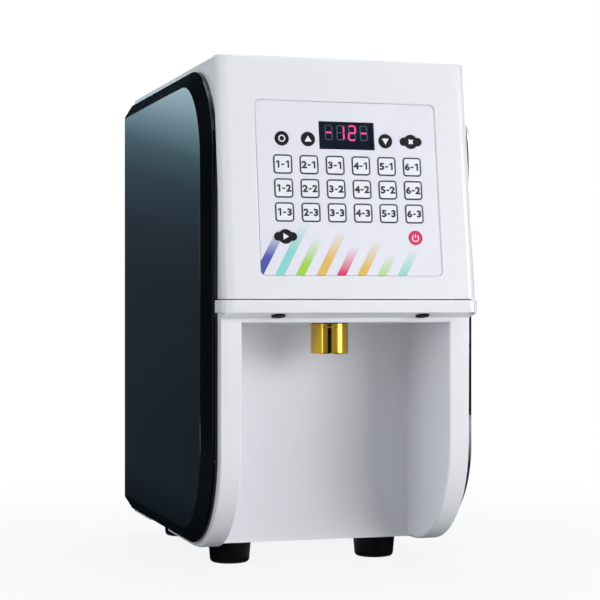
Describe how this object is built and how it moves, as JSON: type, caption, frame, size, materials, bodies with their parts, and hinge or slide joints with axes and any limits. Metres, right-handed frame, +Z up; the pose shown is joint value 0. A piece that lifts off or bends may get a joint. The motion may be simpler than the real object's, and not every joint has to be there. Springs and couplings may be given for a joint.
{
  "type": "powder dispenser",
  "caption": "Countertop powder dispenser: leaning keypad head over an open cup bay with a brass drop nozzle, hopper with auger and agitator, hinged lid, bevelled gloss side panels.",
  "frame": {"origin": "middle of the footprint, on the surface that the feet stand on", "axes": "+Z up, -Y to the keypad and cup bay at the front, +X to the right seen from the front"},
  "size_m": [0.273, 0.4314, 0.5022],
  "materials": {
    "white_shell": "semi-gloss moulded white plastic",
    "black_gloss": "high-gloss black plastic",
    "sheet_steel": "brushed stainless sheet",
    "painted_steel": "fine-textured white powder coat",
    "gold_brass": "polished brass",
    "rubber": "matt moulded rubber",
    "gear_plastic": "natural acetal",
    "motor_grey": "grey enamelled motor case",
    "black_plastic": "fine-grained black plastic",
    "rocker_plastic": "smooth black plastic",
    "board_green": "solder-masked circuit board",
    "keypad_film": "satin printed film",
    "display_tint": "dark red tinted window",
    "key_film": "satin printed film",
    "key_black": "satin black print",
    "key_magenta": "satin magenta print"
  },
  "bodies": {
    "housing": {"main_housing": "white_shell", "front_frame": "white_shell", "head_cover": "white_shell", "outlet_elbow": "white_shell", "left_side_panel": "black_gloss", "right_side_panel": "black_gloss", "base_pan": "sheet_steel", "hopper": "sheet_steel", "gear_plate": "sheet_steel", "lid_pins": "sheet_steel", "power_supply": "sheet_steel", "case_screws": "sheet_steel", "inner_screws": "sheet_steel", "rear_cover": "painted_steel", "nozzle": "gold_brass", "shaft_bushes": "gold_brass", "feet": "rubber", "nozzle_gasket": "rubber", "ledge_plugs": "rubber", "gear_motor": "motor_grey", "power_inlet": "black_plastic", "switch_body": "black_plastic", "tact_switches": "black_plastic", "display_module": "black_plastic", "control_board": "board_green", "keypad_overlay": "keypad_film", "display_window": "display_tint"},
    "lid": {"top_lid": "white_shell", "lid_seal": "rubber"},
    "auger": {"auger": "sheet_steel", "auger_gear": "gear_plastic"},
    "agitator": {"agitator": "sheet_steel", "agitator_gear": "gear_plastic"},
    "pinion": {"motor_pinion": "sheet_steel"},
    "rocker": {"switch_rocker": "rocker_plastic"},
    "key_1_1": {"key_1_1": "key_film"},
    "key_2_1": {"key_2_1": "key_film"},
    "key_3_1": {"key_3_1": "key_film"},
    "key_4_1": {"key_4_1": "key_film"},
    "key_5_1": {"key_5_1": "key_film"},
    "key_6_1": {"key_6_1": "key_film"},
    "key_1_2": {"key_1_2": "key_film"},
    "key_2_2": {"key_2_2": "key_film"},
    "key_3_2": {"key_3_2": "key_film"},
    "key_4_2": {"key_4_2": "key_film"},
    "key_5_2": {"key_5_2": "key_film"},
    "key_6_2": {"key_6_2": "key_film"},
    "key_1_3": {"key_1_3": "key_film"},
    "key_2_3": {"key_2_3": "key_film"},
    "key_3_3": {"key_3_3": "key_film"},
    "key_4_3": {"key_4_3": "key_film"},
    "key_5_3": {"key_5_3": "key_film"},
    "key_6_3": {"key_6_3": "key_film"},
    "key_store": {"key_store": "key_black"},
    "key_up": {"key_up": "key_black"},
    "key_down": {"key_down": "key_black"},
    "key_clear": {"key_clear": "key_black"},
    "key_run": {"key_run": "key_black"},
    "key_power": {"key_power": "key_magenta"}
  },
  "joints": [
    {"name": "lid_hinge", "type": "hinge", "parent": "housing", "child": "lid", "pos_m": [0, 0.14925, 0.498], "axis": [-1, 0, 0], "range_deg": [0, 100]},
    {"name": "auger_spin", "type": "hinge", "parent": "housing", "child": "auger", "pos_m": [0, 0.00525, 0.29], "axis": [0, 1, 0], "continuous": true},
    {"name": "agitator_spin", "type": "hinge", "parent": "housing", "child": "agitator", "pos_m": [0, 0.00525, 0.356], "axis": [0, 1, 0], "continuous": true},
    {"name": "pinion_spin", "type": "hinge", "parent": "housing", "child": "pinion", "pos_m": [0, 0.14125, 0.248], "axis": [0, 1, 0], "continuous": true},
    {"name": "power_rocker", "type": "hinge", "parent": "housing", "child": "rocker", "pos_m": [0.01, 0.21225, 0.083], "axis": [1, 0, 0], "range_deg": [0, 20]},
    {"name": "key_1_1_press", "type": "slide", "parent": "housing", "child": "key_1_1", "axis": [0, 0.9898, -0.1426], "range_m": [0, 0.0005], "stiffness_N_per_m": 1500, "springref_m": -0.0003},
    {"name": "key_2_1_press", "type": "slide", "parent": "housing", "child": "key_2_1", "axis": [0, 0.9898, -0.1426], "range_m": [0, 0.0005], "stiffness_N_per_m": 1500, "springref_m": -0.0003},
    {"name": "key_3_1_press", "type": "slide", "parent": "housing", "child": "key_3_1", "axis": [0, 0.9898, -0.1426], "range_m": [0, 0.0005], "stiffness_N_per_m": 1500, "springref_m": -0.0003},
    {"name": "key_4_1_press", "type": "slide", "parent": "housing", "child": "key_4_1", "axis": [0, 0.9898, -0.1426], "range_m": [0, 0.0005], "stiffness_N_per_m": 1500, "springref_m": -0.0003},
    {"name": "key_5_1_press", "type": "slide", "parent": "housing", "child": "key_5_1", "axis": [0, 0.9898, -0.1426], "range_m": [0, 0.0005], "stiffness_N_per_m": 1500, "springref_m": -0.0003},
    {"name": "key_6_1_press", "type": "slide", "parent": "housing", "child": "key_6_1", "axis": [0, 0.9898, -0.1426], "range_m": [0, 0.0005], "stiffness_N_per_m": 1500, "springref_m": -0.0003},
    {"name": "key_1_2_press", "type": "slide", "parent": "housing", "child": "key_1_2", "axis": [0, 0.9898, -0.1426], "range_m": [0, 0.0005], "stiffness_N_per_m": 1500, "springref_m": -0.0003},
    {"name": "key_2_2_press", "type": "slide", "parent": "housing", "child": "key_2_2", "axis": [0, 0.9898, -0.1426], "range_m": [0, 0.0005], "stiffness_N_per_m": 1500, "springref_m": -0.0003},
    {"name": "key_3_2_press", "type": "slide", "parent": "housing", "child": "key_3_2", "axis": [0, 0.9898, -0.1426], "range_m": [0, 0.0005], "stiffness_N_per_m": 1500, "springref_m": -0.0003},
    {"name": "key_4_2_press", "type": "slide", "parent": "housing", "child": "key_4_2", "axis": [0, 0.9898, -0.1426], "range_m": [0, 0.0005], "stiffness_N_per_m": 1500, "springref_m": -0.0003},
    {"name": "key_5_2_press", "type": "slide", "parent": "housing", "child": "key_5_2", "axis": [0, 0.9898, -0.1426], "range_m": [0, 0.0005], "stiffness_N_per_m": 1500, "springref_m": -0.0003},
    {"name": "key_6_2_press", "type": "slide", "parent": "housing", "child": "key_6_2", "axis": [0, 0.9898, -0.1426], "range_m": [0, 0.0005], "stiffness_N_per_m": 1500, "springref_m": -0.0003},
    {"name": "key_1_3_press", "type": "slide", "parent": "housing", "child": "key_1_3", "axis": [0, 0.9898, -0.1426], "range_m": [0, 0.0005], "stiffness_N_per_m": 1500, "springref_m": -0.0003},
    {"name": "key_2_3_press", "type": "slide", "parent": "housing", "child": "key_2_3", "axis": [0, 0.9898, -0.1426], "range_m": [0, 0.0005], "stiffness_N_per_m": 1500, "springref_m": -0.0003},
    {"name": "key_3_3_press", "type": "slide", "parent": "housing", "child": "key_3_3", "axis": [0, 0.9898, -0.1426], "range_m": [0, 0.0005], "stiffness_N_per_m": 1500, "springref_m": -0.0003},
    {"name": "key_4_3_press", "type": "slide", "parent": "housing", "child": "key_4_3", "axis": [0, 0.9898, -0.1426], "range_m": [0, 0.0005], "stiffness_N_per_m": 1500, "springref_m": -0.0003},
    {"name": "key_5_3_press", "type": "slide", "parent": "housing", "child": "key_5_3", "axis": [0, 0.9898, -0.1426], "range_m": [0, 0.0005], "stiffness_N_per_m": 1500, "springref_m": -0.0003},
    {"name": "key_6_3_press", "type": "slide", "parent": "housing", "child": "key_6_3", "axis": [0, 0.9898, -0.1426], "range_m": [0, 0.0005], "stiffness_N_per_m": 1500, "springref_m": -0.0003},
    {"name": "key_store_press", "type": "slide", "parent": "housing", "child": "key_store", "axis": [0, 0.9898, -0.1426], "range_m": [0, 0.0005], "stiffness_N_per_m": 1500, "springref_m": -0.0003},
    {"name": "key_up_press", "type": "slide", "parent": "housing", "child": "key_up", "axis": [0, 0.9898, -0.1426], "range_m": [0, 0.0005], "stiffness_N_per_m": 1500, "springref_m": -0.0003},
    {"name": "key_down_press", "type": "slide", "parent": "housing", "child": "key_down", "axis": [0, 0.9898, -0.1426], "range_m": [0, 0.0005], "stiffness_N_per_m": 1500, "springref_m": -0.0003},
    {"name": "key_clear_press", "type": "slide", "parent": "housing", "child": "key_clear", "axis": [0, 0.9898, -0.1426], "range_m": [0, 0.0005], "stiffness_N_per_m": 1500, "springref_m": -0.0003},
    {"name": "key_run_press", "type": "slide", "parent": "housing", "child": "key_run", "axis": [0, 0.9898, -0.1426], "range_m": [0, 0.0005], "stiffness_N_per_m": 1500, "springref_m": -0.0003},
    {"name": "key_power_press", "type": "slide", "parent": "housing", "child": "key_power", "axis": [0, 0.9898, -0.1426], "range_m": [0, 0.0005], "stiffness_N_per_m": 1500, "springref_m": -0.0003}
  ],
  "couplings": [
    {"joint": "agitator_spin", "follows": "auger_spin", "ratio": -0.76},
    {"joint": "pinion_spin", "follows": "auger_spin", "ratio": -2.1111}
  ]
}
